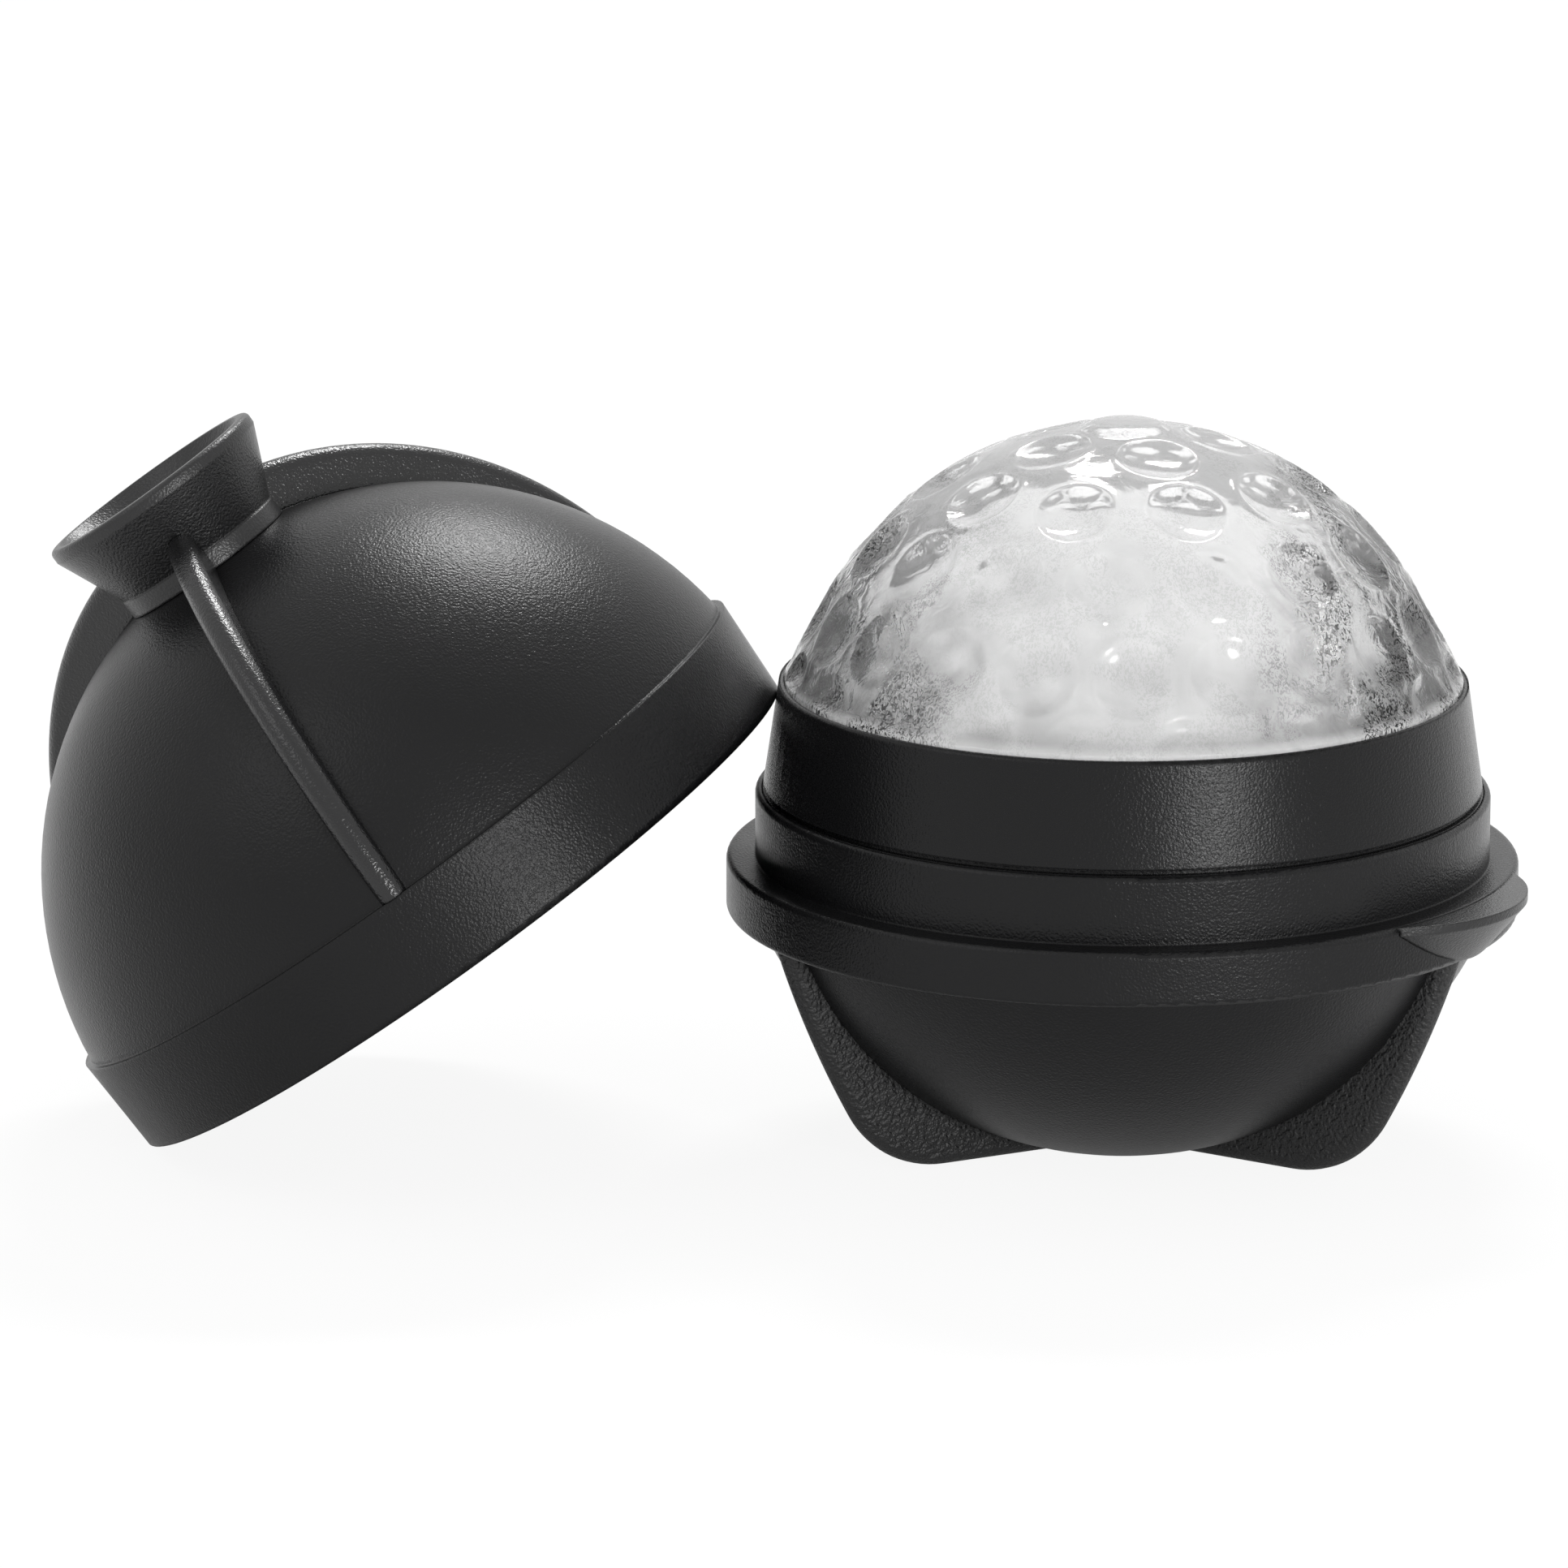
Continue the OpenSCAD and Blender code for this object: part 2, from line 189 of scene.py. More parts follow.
# %% The four grains of polypropylene
shell_black = moulded_polypropylene(
    "polypropylene_fine_grain", FINE_GRAIN_MM, grain_depth_mm=0.065, roughness=0.33, gloss_level=0.22)
rib_black = moulded_polypropylene(
    "polypropylene_glossy_edge", FINE_GRAIN_MM, grain_depth_mm=0.07, roughness=0.26, gloss_level=0.5)
funnel_black = moulded_polypropylene(
    "polypropylene_satin", FINE_GRAIN_MM, grain_depth_mm=0.06, roughness=0.36, gloss_level=0.5)
fin_black = moulded_polypropylene(
    "polypropylene_rough_grain", COARSE_GRAIN_MM, grain_depth_mm=0.3, roughness=0.52, gloss_level=0.55)
print("plastics:", shell_black.name, rib_black.name, funnel_black.name, fin_black.name)

# %% [markdown]
# ## Silicone
# The liners are moulded in black silicone. It is a little smoother to the eye than the plastic, with a weaker
# and more even reflection, and an IOR near 1.41. It is made in the same way as the plastic, without the
# patches. Its real grain is as fine, and is drawn coarser as well.

# %% Moulded silicone
SILICONE_BLACK = "#0f0f10"
SILICONE_IOR = 1.41
SILICONE_GLOSS_LEVEL = 0.3
SILICONE_ROUGHNESS = (0.24, 0.3)
# Coarser than the real grain, so that it shows
SILICONE_GRAIN_MM = 0.24
SILICONE_GRAIN_DEPTH_MM = 0.055


def moulded_silicone(name):
    """Black silicone with a faint grain."""
    material, tree = new_material(name)
    place = add(tree, "ShaderNodeTexCoord").outputs["Object"]
    grain = add(tree, "ShaderNodeTexNoise", {
        "Vector": place, "Scale": per_metre(SILICONE_GRAIN_MM), "Detail": 2})
    gloss = add(tree, "ShaderNodeMapRange", {
        "Value": grain.outputs["Fac"], "To Min": SILICONE_ROUGHNESS[0], "To Max": SILICONE_ROUGHNESS[1]})
    edge = add(tree, "ShaderNodeBevel", {"Radius": EDGE_ROUND_MM * MM}, samples=EDGE_SAMPLES)
    bump = add(tree, "ShaderNodeBump", {
        "Height": grain.outputs["Fac"], "Strength": 1, "Distance": SILICONE_GRAIN_DEPTH_MM * MM,
        "Normal": edge.outputs["Normal"]})
    silicone = add(tree, "ShaderNodeBsdfPrincipled", {
        "Base Color": linear(SILICONE_BLACK), "Roughness": gloss.outputs["Result"],
        "Normal": bump.outputs["Normal"], "IOR": SILICONE_IOR, "Specular IOR Level": SILICONE_GLOSS_LEVEL})
    add(tree, "ShaderNodeOutputMaterial", {"Surface": silicone.outputs["BSDF"]})
    return material


liner_black = moulded_silicone("silicone_black")
print("liners:", liner_black.name)

# %% Dress the moulded pieces
FINISHES = {
    shell_black: ["base_shell", "cap_shell"],
    rib_black: ["rib_front", "rib_right", "rib_left"],
    funnel_black: ["fill_funnel", "pull_tab"],
    liner_black: ["base_liner", "cap_liner"],
}
for material, names in FINISHES.items():
    for name in names:
        mesh = nodes[name].data
        mesh.materials.clear()
        mesh.materials.append(material)
    print(material.name, "on", ", ".join(names))

# %% [markdown]
# ## Foot fins
# Each fin is a web between the bowl and the floor, moulded in one with the bowl. Its whole edge is rounded
# over, from the flange down to its toe and in along the floor. A bevel on a flat plate would meet the bowl
# badly, so the edge is drawn as a chain of points and each point gets the same section: a flat side that
# starts inside the bowl, half a circle round the edge, and the other flat side.

# %% Fin values
BOWL_R_MM = 37.2
FIN_T_MM = 2.7
# Two points of the edge, as reach from the bowl's axis and height
FIN_TOP_MM = (36.2, 22.9)
FIN_EDGE_FOOT_MM = (28.4, 5.3)
FIN_EDGE_R_MM = 100
FIN_TOE_R_MM = 11
# How near the axis the fin reaches along the floor, and how deep in the bowl its sides start
FIN_INNER_MM = 6
FIN_SINK_MM = 0.7
FIN_SHARP_ANGLE = math.radians(50)
FIN_EDGE_STEPS = 25
FIN_TOE_STEPS = 16
FIN_FLOOR_STEPS = 8
FIN_ROUND_STEPS = 13
FIN_BEARINGS = {"foot_back": 87, "foot_front_left": 207, "foot_front_right": -33}
print("fins at", FIN_BEARINGS)


# %% Edge of a fin
def fin_edge():
    """Points down the fin's edge, as reach and height, each with the direction into the fin."""
    top = np.array(FIN_TOP_MM)
    foot = np.array(FIN_EDGE_FOOT_MM)
    chord = foot - top
    across = np.array([chord[1], -chord[0]]) / np.linalg.norm(chord)
    bow = math.sqrt(FIN_EDGE_R_MM ** 2 - np.dot(chord, chord) / 4)
    middle = (top + foot) / 2 + across * bow
    toe_z = FIN_TOE_R_MM
    toe_x = middle[0] + math.sqrt((FIN_EDGE_R_MM - FIN_TOE_R_MM) ** 2 - (middle[1] - toe_z) ** 2)
    start = math.atan2(top[1] - middle[1], top[0] - middle[0])
    turn = math.atan2(toe_z - middle[1], toe_x - middle[0])
    arcs = [(middle, FIN_EDGE_R_MM, a) for a in np.linspace(start, turn, FIN_EDGE_STEPS)]
    arcs += [((toe_x, toe_z), FIN_TOE_R_MM, a) for a in np.linspace(turn, -math.pi / 2, FIN_TOE_STEPS)[1:]]
    points = []
    for centre, radius, angle in arcs:
        out = np.array([math.cos(angle), math.sin(angle)])
        points.append([*(np.array(centre) + radius * out), *-out])
    points += [[reach, 0, 0, 1] for reach in np.linspace(toe_x, FIN_INNER_MM, FIN_FLOOR_STEPS)[1:]]
    return np.array(points)


print("fin edge:", len(fin_edge()), "points")


# %% One fin
def new_piece(name, points, faces):
    """A smooth mesh object in the scene."""
    mesh = bpy.data.meshes.new(name)
    mesh.from_pydata(points.tolist(), [], faces)
    mesh.shade_smooth()
    piece = bpy.data.objects.new(name, mesh)
    scene.collection.objects.link(piece)
    return piece


def fin(name, bearing):
    """One fin, standing out from the bowl in this direction."""
    rows = fin_edge()
    middle = np.array([0, ball_middle.z / MM])
    half = FIN_T_MM / 2
    columns = []
    for turn in np.linspace(-math.pi / 2, math.pi / 2, FIN_ROUND_STEPS):
        inset = half * (1 - math.cos(turn))
        side = np.full(len(rows), half * math.sin(turn))
        columns.append(np.c_[rows[:, :2] + rows[:, 2:] * inset, side])
    away = rows[:, :2] - middle
    root = middle + away / np.linalg.norm(away, axis=1)[:, None] * (BOWL_R_MM - FIN_SINK_MM)
    columns = [np.c_[root, np.full(len(rows), -half)], *columns, np.c_[root, np.full(len(rows), half)]]
    grid = np.stack(columns, axis=1)
    count, wide = grid.shape[:2]
    reach, height, side = grid.reshape(-1, 3).T
    cos = math.cos(math.radians(bearing))
    sin = math.sin(math.radians(bearing))
    points = np.c_[reach * cos - side * sin, reach * sin + side * cos, height] * MM
    faces = []
    for row in range(count - 1):
        for column in range(wide):
            here = row * wide + column
            after = row * wide + (column + 1) % wide
            faces.append((here, after, after + wide, here + wide))
    faces.append(tuple(reversed(range(wide))))
    faces.append(tuple((count - 1) * wide + column for column in range(wide)))
    piece = new_piece(name, points, faces)
    piece.data.set_sharp_from_angle(angle=FIN_SHARP_ANGLE)
    return piece


# %% Make the fins
for node, bearing in FIN_BEARINGS.items():
    piece = fin(node + "_fin", bearing)
    piece.data.materials.append(fin_black)
    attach(piece, "base")
    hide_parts(node)
    print(piece.name, len(piece.data.polygons), "faces")

# %% [markdown]
# ## Shape of the ice
# The ball comes out of two half moulds with soft bumps. Its dimples lie in the five-sided order of a golf
# ball, about 160 of them, each with a low rounded rim. On top is a nub of ice from the filling hole. Where
# the two halves met, the ball has a short wall inside the collar and then a straight flare up to the round.
# Each dimple could be cut with a ball of its own, but that leaves a ragged mesh. Instead, a grid of latitude
# and longitude is bent to the whole shape by one function of direction.

# %% Ice values
ICE_R_MM = 31.5
DIMPLE_SIDES = 5
DIMPLE_ROWS = 4
DIMPLE_W_MM = 7.6
DIMPLE_DEPTH_MM = 1.1
RIM_H_MM = 0.12
# Breadth of the rim, as a share of half the dimple's width
RIM_SHARE = 0.14
# Angle from the top of the ball down to the upper corners of its five-sided belt
BELT_TILT = math.atan(2)
NUB_R_MM = 4.4
NUB_H_MM = 0.6
NUB_SLOPE_MM = 1.4
# How far the wall stands out of the round, and how far it rises above the collar's lip
WALL_OUT_MM = 0.08
WALL_RISE_MM = 0.4
WALL_R_MM = ICE_R_MM + WALL_OUT_MM
LIP_H_MM = (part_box("base_liner")[1].z - ball_middle.z) / MM
WALL_H_MM = LIP_H_MM + WALL_RISE_MM
# The flare starts at the wall's top and ends where it meets the round, and its dimples fade in
FLARE_FOOT = math.atan2(WALL_H_MM, WALL_R_MM)
FLARE_TOP = FLARE_FOOT + math.acos(ICE_R_MM / math.hypot(WALL_R_MM, WALL_H_MM))
FLARE_BARE = math.radians(4)
print("flare: up to", round(math.degrees(FLARE_TOP), 1), "degrees above the ball's middle")


# %% Places of the dimples
def dimple_directions():
    """One unit vector to the middle of each dimple, in the five-sided order of a golf ball."""
    end_step = BELT_TILT / DIMPLE_ROWS
    belt_step = (math.pi - 2 * BELT_TILT) / DIMPLE_ROWS
    last_row = 3 * DIMPLE_ROWS
    found = []
    for row in range(1, last_row + 1):
        belt = min(max(row - DIMPLE_ROWS, 0), DIMPLE_ROWS)
        tilt = (row - belt) * end_step + belt * belt_step
        count = max(1, DIMPLE_SIDES * min(row, last_row - row, DIMPLE_ROWS))
        for i in range(count):
            turn = belt * math.pi / DIMPLE_SIDES / DIMPLE_ROWS + 2 * math.pi * i / count
            found.append((math.sin(tilt) * math.cos(turn), math.sin(tilt) * math.sin(turn), math.cos(tilt)))
    return np.array(found)


print("dimples:", len(dimple_directions()))


# %% Skin of the ball
def undimpled(rise):
    """Radius of the ball at this angle above its equator: a wall in the collar, a flare, then the round."""
    wall = WALL_R_MM / np.cos(np.clip(rise, 0, FLARE_TOP))
    flare = ICE_R_MM / np.cos(np.clip(FLARE_TOP - rise, 0, FLARE_TOP))
    return np.where(rise > 0, np.minimum(wall, flare), ICE_R_MM)


def dimpled(directions):
    """How far the skin lies from the middle of the ball, in millimetres, along each direction."""
    rise = np.arcsin(np.clip(directions[:, 2], -1, 1))
    half_angle = DIMPLE_W_MM / 2 / ICE_R_MM
    closeness = np.clip((directions @ dimple_directions().T).max(axis=1), -1, 1)
    away = np.arccos(closeness) / half_angle
    hollow = DIMPLE_DEPTH_MM * (1 - np.clip(away, 0, 1) ** 2)
    rim = RIM_H_MM * np.exp(-((away - 1) / RIM_SHARE) ** 2)
    shown = np.where(rise > 0, np.clip((rise - FLARE_FOOT) / FLARE_BARE, 0, 1), 1)
    from_axis = ICE_R_MM * np.hypot(directions[:, 0], directions[:, 1])
    nub = NUB_H_MM * np.clip((NUB_R_MM - from_axis) / NUB_SLOPE_MM, 0, 1) * (rise > 0)
    return undimpled(rise) + shown * (rim - hollow) + nub


print("top of the ball:", round(float(dimpled(np.array([[0, 0, 1.0]]))[0]), 2), "mm from its middle")


# %% A ball as a grid
def ball_mesh(name, rows, columns, radius_of):
    """A closed grid of latitude and longitude whose radius is a function of direction."""
    polar = np.repeat(rows, columns)
    turn = np.tile(np.arange(columns) * 2 * math.pi / columns, len(rows))
    around = np.stack([np.sin(polar) * np.cos(turn), np.sin(polar) * np.sin(turn), np.cos(polar)], axis=1)
    directions = np.concatenate([around, [[0, 0, 1], [0, 0, -1]]])
    points = directions * radius_of(directions)[:, None] * MM
    top = len(around)
    bottom = top + 1
    last = (len(rows) - 1) * columns
    faces = []
    for row in range(len(rows) - 1):
        for column in range(columns):
            here = row * columns + column
            after = row * columns + (column + 1) % columns
            faces.append((here, here + columns, after + columns, after))
    for column in range(columns):
        after = (column + 1) % columns
        faces.append((top, column, after))
        faces.append((bottom, last + after, last + column))
    piece = new_piece(name, points, faces)
    piece.location = ball_middle
    return piece


# %% Ice skin
SKIN_ROWS = 290
SKIN_COLUMNS = 540
# Angles in radians: what the rows leave free at each end, and between the rows at the wall's sharp top
SKIN_POLE_GAP = 0.012
SHARP_STEP = 0.001

wall_polar = math.pi / 2 - FLARE_FOOT
even_rows = np.linspace(SKIN_POLE_GAP, math.pi - SKIN_POLE_GAP, SKIN_ROWS)
sharp_rows = [wall_polar - SHARP_STEP, wall_polar, wall_polar + SHARP_STEP]
skin_rows = np.sort(np.concatenate([even_rows, sharp_rows]))
ice_skin = ball_mesh("ice_skin", skin_rows, SKIN_COLUMNS, dimpled)
print("ice skin:", len(ice_skin.data.polygons), "faces")

# %% [markdown]
# ## Milky middle
# Water freezes from the outside in and drives its air ahead of it, so the ball is clear at its skin and milky
# inside. The milk reaches further out in some places than in others. A cloud of mist would be nearest to it,
# but it renders slowly and an export loses it. So the milk is a ball with many soft lumps, seen through the
# clear ice. The lumps are drawn from a fixed seed, so that each run makes the same ball.

# %% Ice core
CORE_R_MM = 19
CORE_SEED = 7
CORE_ROWS = 90
CORE_COLUMNS = 180
LUMP_COUNT = 160
# The highest lump, and the lowest as a share of it
LUMP_H_MM = 4
LUMP_LEAST = 0.1
# Angles in radians: the breadth of a lump, and what the rows leave free at each end
LUMP_WIDE = 0.22
CORE_POLE_GAP = 0.03


def lumpy(directions):
    """Radius of the milky middle, which bulges where more bubbles were caught."""
    rng = np.random.default_rng(CORE_SEED)
    lumps = rng.normal(size=(LUMP_COUNT, 3))
    lumps /= np.linalg.norm(lumps, axis=1)[:, None]
    heights = rng.uniform(LUMP_LEAST, 1, LUMP_COUNT) * LUMP_H_MM
    apart = np.arccos(np.clip(directions @ lumps.T, -1, 1))
    return CORE_R_MM + (heights * np.exp(-(apart / LUMP_WIDE) ** 2)).max(axis=1)


core_rows = np.linspace(CORE_POLE_GAP, math.pi - CORE_POLE_GAP, CORE_ROWS)
ice_core = ball_mesh("ice_core_milk", core_rows, CORE_COLUMNS, lumpy)
print("ice core:", len(ice_core.data.polygons), "faces")

# %% [markdown]
# ## Clear ice
# The skin is clear ice: IOR 1.31 and as smooth as the mould. Fine bubbles veil a band across its middle and
# its top, and lie thickest along the collar's lip, so part of the light scatters there and the rest goes on
# to the milky middle. The sides are clearer, and there the skin has wrinkles and streaks like fine cracks.
# The dark of the streaks and the grey layers beside them is painted refraction: a colour that stands in for
# the black parts seen through the ice. All of it could be modelled as bubbles and cracks, but a share of
# transmission that changes from place to place gives the same look. Real cracks are finer than the render's
# pixels, so the streaks are drawn coarser.

# %% Veil over the ice
# The grain of the veil, the place of its middle along X, and where its wandering edge thins out
VEIL_MM = 7
VEIL_MIDDLE_MM = -2
VEIL_WANDER_MM = 9
VEIL_FROM_MM = 10
VEIL_TO_MM = 24
# Share of the light that goes through the skin, in the veil and beside it
VEILED_SHARE = 0.72
CLEAR_SHARE = 0.9
# Heights between which the top turns milky, and the part of that share that is left there
TOP_FROM_MM = 17
TOP_TO_MM = 28
TOP_SHARE = 0.88
# Reach of the milky line above and below the collar's lip, and the part that is left there
FOOT_MILK_MM = 1.3
FOOT_SHARE = 0.4


def clear_share(tree, place):
    """The share of light that goes through the skin: from side to side, then with its milky top and foot."""
    axes = add(tree, "ShaderNodeSeparateXYZ", {0: place})
    aside = add(tree, "ShaderNodeMath", {0: axes.outputs["X"], 1: VEIL_MIDDLE_MM * MM}, operation="SUBTRACT")
    aside = add(tree, "ShaderNodeMath", {0: aside.outputs[0]}, operation="ABSOLUTE")
    wander = add(tree, "ShaderNodeTexNoise", {
        "Vector": place, "Scale": per_metre(VEIL_MM), "Detail": 4, "Roughness": 0.55})
    edge = add(tree, "ShaderNodeMath", {
        0: wander.outputs["Fac"], 1: VEIL_WANDER_MM * 2 * MM, 2: aside.outputs[0]}, operation="MULTIPLY_ADD")
    sides = add(tree, "ShaderNodeMapRange", {
        "Value": edge.outputs[0], "From Min": (VEIL_FROM_MM + VEIL_WANDER_MM) * MM,
        "From Max": (VEIL_TO_MM + VEIL_WANDER_MM) * MM, "To Min": VEILED_SHARE, "To Max": CLEAR_SHARE},
        interpolation_type="SMOOTHSTEP")
    top = add(tree, "ShaderNodeMapRange", {
        "Value": axes.outputs["Z"], "From Min": TOP_FROM_MM * MM, "From Max": TOP_TO_MM * MM,
        "To Min": 1, "To Max": TOP_SHARE}, interpolation_type="SMOOTHSTEP")
    from_lip = add(tree, "ShaderNodeMath", {0: axes.outputs["Z"], 1: LIP_H_MM * MM}, operation="SUBTRACT")
    from_lip = add(tree, "ShaderNodeMath", {0: from_lip.outputs[0]}, operation="ABSOLUTE")
    foot = add(tree, "ShaderNodeMapRange", {
        "Value": from_lip.outputs[0], "From Min": 0, "From Max": FOOT_MILK_MM * MM,
        "To Min": FOOT_SHARE, "To Max": 1}, interpolation_type="SMOOTHSTEP")
    ends = add(tree, "ShaderNodeMath", {0: top.outputs[0], 1: foot.outputs[0]}, operation="MULTIPLY")
    share = add(tree, "ShaderNodeMath", {0: sides.outputs[0], 1: ends.outputs[0]}, operation="MULTIPLY")
    return sides.outputs[0], share.outputs[0]


print("veil:", VEIL_FROM_MM, "to", VEIL_TO_MM, "mm from its middle")

# %% Streaks, wrinkles and painted refraction in the ice
CLEAR_ICE = "#f2f2f2"
# Painted refraction: the grey of the streaks stands in for the black parts seen through the ice
PAINTED_REFRACTION_GREY = "#141414"
# Streaks drawn coarser than real cracks, a little longer upwards, and, as painted refraction, darkest in
# patches
STREAK_MM = 0.3
STREAK_STRETCH = 0.6
STREAK_BEND = 1.5
STREAK_DEPTH_MM = 0.04
STREAK_RANGE = (0.49, 0.56)
STREAK_PATCH_MM = 5
STREAK_PATCH_RANGE = (0.44, 0.54)
STREAK_LEAST = 0.08
# Broad grey layers of painted refraction, thinner from front to back
FLOW_MM = 8
FLOW_STRETCH = 3
FLOW_BEND = 0.6
FLOW_RANGE = (0.52, 0.68)
FLOW_MOST = 0.4
# Wrinkles of the skin, and the strength that they, the streaks and the painted refraction keep inside the
# veil
WRINKLE_MM = 2.2
WRINKLE_DEPTH_MM = 0.35
CLEAR_SIDE_LEAST = 0.15


def painted_refraction_share(tree, place, streak, clear_side_strength):
    """Painted refraction: how dark the ice is, from fine streaks in patches and from broad grey layers."""
    patch = add(tree, "ShaderNodeTexNoise", {
        "Vector": place, "Scale": per_metre(STREAK_PATCH_MM), "Detail": 2})
    patchy = add(tree, "ShaderNodeMapRange", {
        "Value": patch.outputs["Fac"], "From Min": STREAK_PATCH_RANGE[0], "From Max": STREAK_PATCH_RANGE[1],
        "To Min": STREAK_LEAST, "To Max": 1})
    where = add(tree, "ShaderNodeMath", {0: patchy.outputs[0], 1: clear_side_strength}, operation="MULTIPLY")
    fine = add(tree, "ShaderNodeMapRange", {
        "Value": streak, "From Min": STREAK_RANGE[0], "From Max": STREAK_RANGE[1], "To Min": 0, "To Max": 1})
    fine = add(tree, "ShaderNodeMath", {0: fine.outputs[0], 1: where.outputs[0]}, operation="MULTIPLY")
    layers = add(tree, "ShaderNodeMapping", {"Vector": place, "Scale": (1, FLOW_STRETCH, 1)})
    flow = add(tree, "ShaderNodeTexNoise", {
        "Vector": layers.outputs[0], "Scale": per_metre(FLOW_MM), "Detail": 3, "Distortion": FLOW_BEND})
    broad = add(tree, "ShaderNodeMapRange", {
        "Value": flow.outputs["Fac"], "From Min": FLOW_RANGE[0], "From Max": FLOW_RANGE[1],
        "To Min": 0, "To Max": FLOW_MOST})
    broad = add(tree, "ShaderNodeMath", {0: broad.outputs[0], 1: clear_side_strength}, operation="MULTIPLY")
    dark = add(tree, "ShaderNodeMath", {0: fine.outputs[0], 1: broad.outputs[0]}, operation="MAXIMUM")
    return dark.outputs[0]


print("streaks:", STREAK_MM, "mm, wrinkles:", WRINKLE_MM, "mm")

# %% Clear ice
ICE_IOR = 1.31
ICE_ROUGHNESS = 0.04
SCATTER_MM = 4


def clear_ice(name):
    """Clear ice at the sides, veiled in the middle; where clear, it has streaks, wrinkles and painted
    refraction.
    """
    material, tree = new_material(name)
    place = add(tree, "ShaderNodeTexCoord").outputs["Object"]
    sides, share = clear_share(tree, place)
    clear_side_strength = add(tree, "ShaderNodeMapRange", {
        "Value": sides, "From Min": VEILED_SHARE, "From Max": CLEAR_SHARE,
        "To Min": CLEAR_SIDE_LEAST, "To Max": 1})
    clear_side_strength = clear_side_strength.outputs[0]
    along = add(tree, "ShaderNodeMapping", {"Vector": place, "Scale": (1, 1, STREAK_STRETCH)})
    streak = add(tree, "ShaderNodeTexNoise", {
        "Vector": along.outputs[0], "Scale": per_metre(STREAK_MM), "Detail": 2, "Distortion": STREAK_BEND})
    streak = streak.outputs["Fac"]
    # The colour darkens with painted refraction where the streaks and grey layers lie
    colour = add(tree, "ShaderNodeValToRGB", {"Fac": painted_refraction_share(tree, place, streak, clear_side_strength)})
    colour.color_ramp.elements[0].color = linear(CLEAR_ICE)
    colour.color_ramp.elements[1].color = linear(PAINTED_REFRACTION_GREY)
    wrinkle = add(tree, "ShaderNodeTexNoise", {
        "Vector": place, "Scale": per_metre(WRINKLE_MM), "Detail": 2, "Distortion": 1})
    swell = add(tree, "ShaderNodeBump", {
        "Height": wrinkle.outputs["Fac"], "Strength": clear_side_strength, "Distance": WRINKLE_DEPTH_MM * MM})
    bump = add(tree, "ShaderNodeBump", {
        "Height": streak, "Strength": clear_side_strength, "Distance": STREAK_DEPTH_MM * MM,
        "Normal": swell.outputs["Normal"]})
    ice = add(tree, "ShaderNodeBsdfPrincipled", {
        "Base Color": colour.outputs["Color"], "Roughness": ICE_ROUGHNESS, "IOR": ICE_IOR,
        "Subsurface Weight": 1, "Subsurface Radius": (1, 1, 1), "Subsurface Scale": SCATTER_MM * MM,
        "Transmission Weight": share, "Normal": bump.outputs["Normal"]})
    add(tree, "ShaderNodeOutputMaterial", {"Surface": ice.outputs["BSDF"]})
    return material


ice_skin.data.materials.append(clear_ice("ice_clear"))
print("ice skin:", ice_skin.data.materials[0].name)

# %% [markdown]
# ## Milky ice
# The middle is ice so full of fine bubbles that it scatters light like a white powder. It shows no gloss of
# its own inside the clear ice, so a rough white with faint grey clouds is enough.

# %% Milky ice
MILK_WHITE = "#f4f4f4"
MILK_GREY = "#e8e8e8"
MILK_RANGE = (0.35, 0.6)
MILK_ROUGHNESS = 0.6
CLOUD_MM = 12


def milky_ice(name):
    """Ice full of fine bubbles, thicker in some places than in others."""
    material, tree = new_material(name)
    place = add(tree, "ShaderNodeTexCoord").outputs["Object"]
    cloud = add(tree, "ShaderNodeTexNoise", {
        "Vector": place, "Scale": per_metre(CLOUD_MM), "Detail": 3, "Roughness": 0.5})
    colour = add(tree, "ShaderNodeValToRGB", {"Fac": cloud.outputs["Fac"]})
    for end, where, tint in zip(colour.color_ramp.elements, MILK_RANGE, (MILK_GREY, MILK_WHITE)):
        end.position = where
        end.color = linear(tint)
    ice = add(tree, "ShaderNodeBsdfPrincipled", {
        "Base Color": colour.outputs["Color"], "Roughness": MILK_ROUGHNESS, "IOR": ICE_IOR})
    add(tree, "ShaderNodeOutputMaterial", {"Surface": ice.outputs["BSDF"]})
    return material


ice_core.data.materials.append(milky_ice("ice_milky"))
print("ice core:", ice_core.data.materials[0].name)

# %% Put the ice on its body
for piece, slot, node in ((ice_skin, "ice", "ice_ball"), (ice_core, "milky_ice", "ice_core")):
    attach(piece, "ice")
    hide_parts(node)
    print(piece.name, "stands for", node)

# %% [markdown]
# ## Floor and world
# The object stands on a plain white floor in front of a white background. More light would make them white
# but would wash out the object, so they are white for the camera's own rays, and for those that plastic and
# ice reflect or refract. The floor shows a tenth of its own shading to the camera, which keeps the object's
# shadow, and more of it in reflections, which keeps the bowl dark underneath.

# %% Floor
FLOOR_SIZE_M = 6
FLOOR_WHITE = "#f2f2f2"
# Share of pure white in the floor, for the camera and for reflections and refractions
SEEN_WHITE = 0.9
MIRRORED_WHITE = 0.25

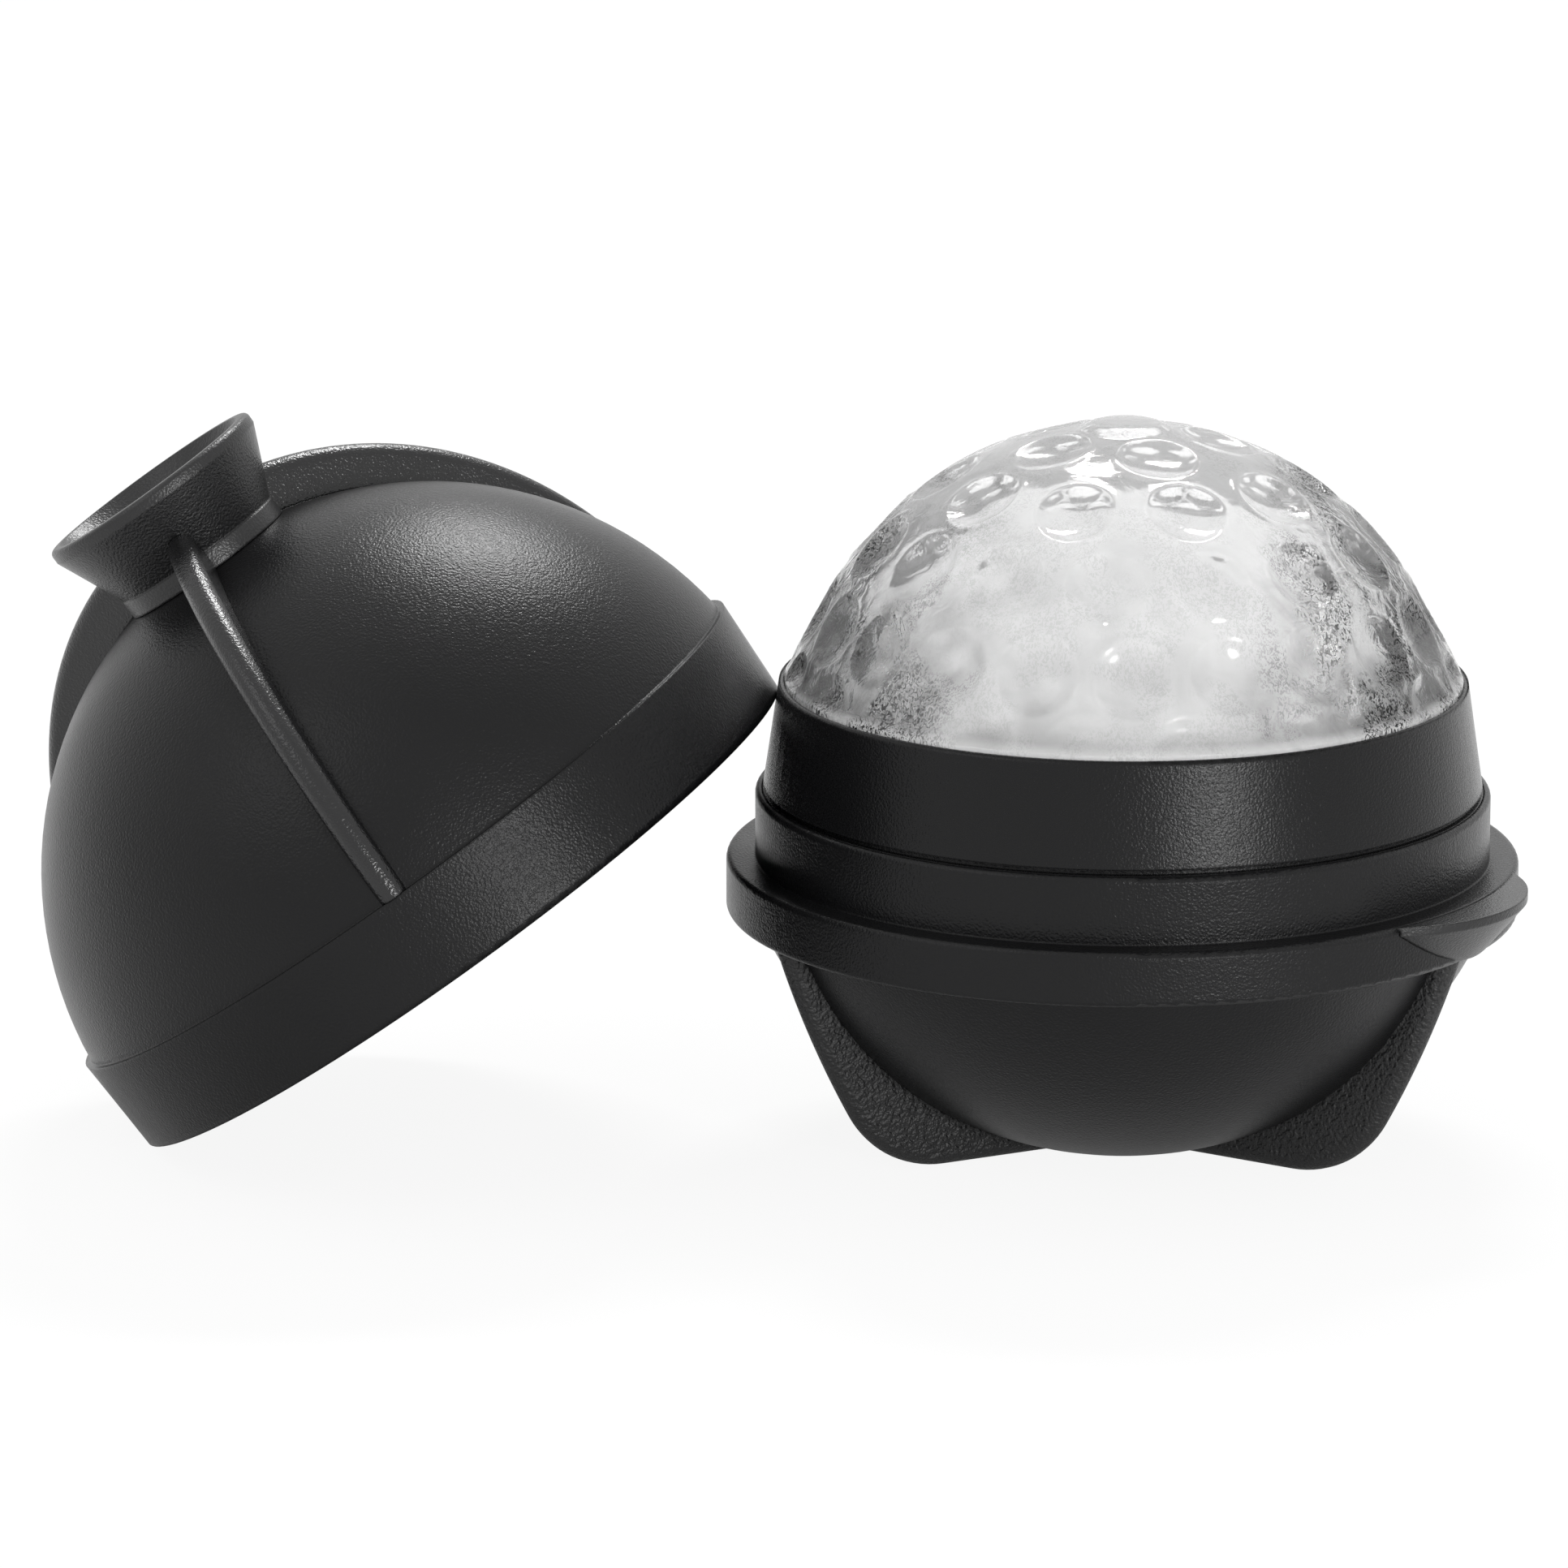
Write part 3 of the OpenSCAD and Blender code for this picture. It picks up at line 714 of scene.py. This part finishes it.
bpy.ops.mesh.primitive_plane_add(size=FLOOR_SIZE_M, location=(0, 0, cad_low.z))
floor = bpy.context.object
floor.name = "floor"
material, tree = new_material("floor_white")
rays = add(tree, "ShaderNodeLightPath")
paper = add(tree, "ShaderNodeBsdfDiffuse", {"Color": linear(FLOOR_WHITE)})
white = add(tree, "ShaderNodeEmission", {"Color": linear(WHITE), "Strength": 1})
seen = add(tree, "ShaderNodeMath", {0: rays.outputs["Is Camera Ray"], 1: SEEN_WHITE}, operation="MULTIPLY")
mirrored = add(tree, "ShaderNodeMath", {
    0: rays.outputs["Is Glossy Ray"], 1: rays.outputs["Is Transmission Ray"]}, operation="MAXIMUM")
mirrored = add(tree, "ShaderNodeMath", {0: mirrored.outputs[0], 1: MIRRORED_WHITE}, operation="MULTIPLY")
share = add(tree, "ShaderNodeMath", {0: seen.outputs[0], 1: mirrored.outputs[0]}, operation="MAXIMUM")
mix = add(tree, "ShaderNodeMixShader", {0: share.outputs[0], 1: paper.outputs[0], 2: white.outputs[0]})
add(tree, "ShaderNodeOutputMaterial", {"Surface": mix.outputs[0]})
floor.data.materials.append(material)
print("floor:", FLOOR_SIZE_M, "m wide at z", round(cad_low.z / MM, 2), "mm")

# %% World
FILL_STRENGTH = 0.8

world = bpy.data.worlds.new("white_studio")
world.use_nodes = True
tree = world.node_tree
tree.nodes.clear()
rays = add(tree, "ShaderNodeLightPath")
seen = add(tree, "ShaderNodeMath", {
    0: rays.outputs["Is Camera Ray"], 1: rays.outputs["Is Glossy Ray"]}, operation="MAXIMUM")
seen = add(tree, "ShaderNodeMath", {
    0: seen.outputs[0], 1: rays.outputs["Is Transmission Ray"]}, operation="MAXIMUM")
fill = add(tree, "ShaderNodeBackground", {"Color": linear(WHITE), "Strength": FILL_STRENGTH})
white = add(tree, "ShaderNodeBackground", {"Color": linear(WHITE), "Strength": 1})
mix = add(tree, "ShaderNodeMixShader", {0: seen.outputs[0], 1: fill.outputs[0], 2: white.outputs[0]})
add(tree, "ShaderNodeOutputWorld", {"Surface": mix.outputs[0]})
scene.world = world
print("world:", world.name, "fills with", FILL_STRENGTH)

# %% [markdown]
# ## Lamps
# The dome's long highlight comes from a narrow strip above and behind it, the soft ones on the skirt and the
# collar from a square lamp at the front right, and a faint lift on the left from a large dim one. Area lamps
# are used because their size sets how soft a highlight is. The power follows from how bright each face is.

# %% Lamps
# Direction from the object, distance in metres, width and height in metres, and radiance
LAMPS = {
    "lamp_above_behind": ((0.09, 0.6, 0.8), 0.75, (0.28, 0.075), 60),
    "lamp_front_right": ((0.48, -0.86, 0.14), 0.9, (0.16, 0.16), 40),
    "lamp_left": ((-0.64, -0.46, 0.61), 0.9, (0.4, 0.4), 1.5),
}
for name, (direction, distance, (wide, high), radiance) in LAMPS.items():
    lamp = bpy.data.lights.new(name, "AREA")
    lamp.shape = "RECTANGLE"
    lamp.size = wide
    lamp.size_y = high
    lamp.energy = radiance * math.pi * wide * high
    stand = bpy.data.objects.new(name, lamp)
    away = Vector(direction).normalized()
    stand.location = look_at + away * distance
    stand.rotation_euler = away.to_track_quat("Z", "Y").to_euler()
    scene.collection.objects.link(stand)
    print(name, round(lamp.energy, 2), "W")
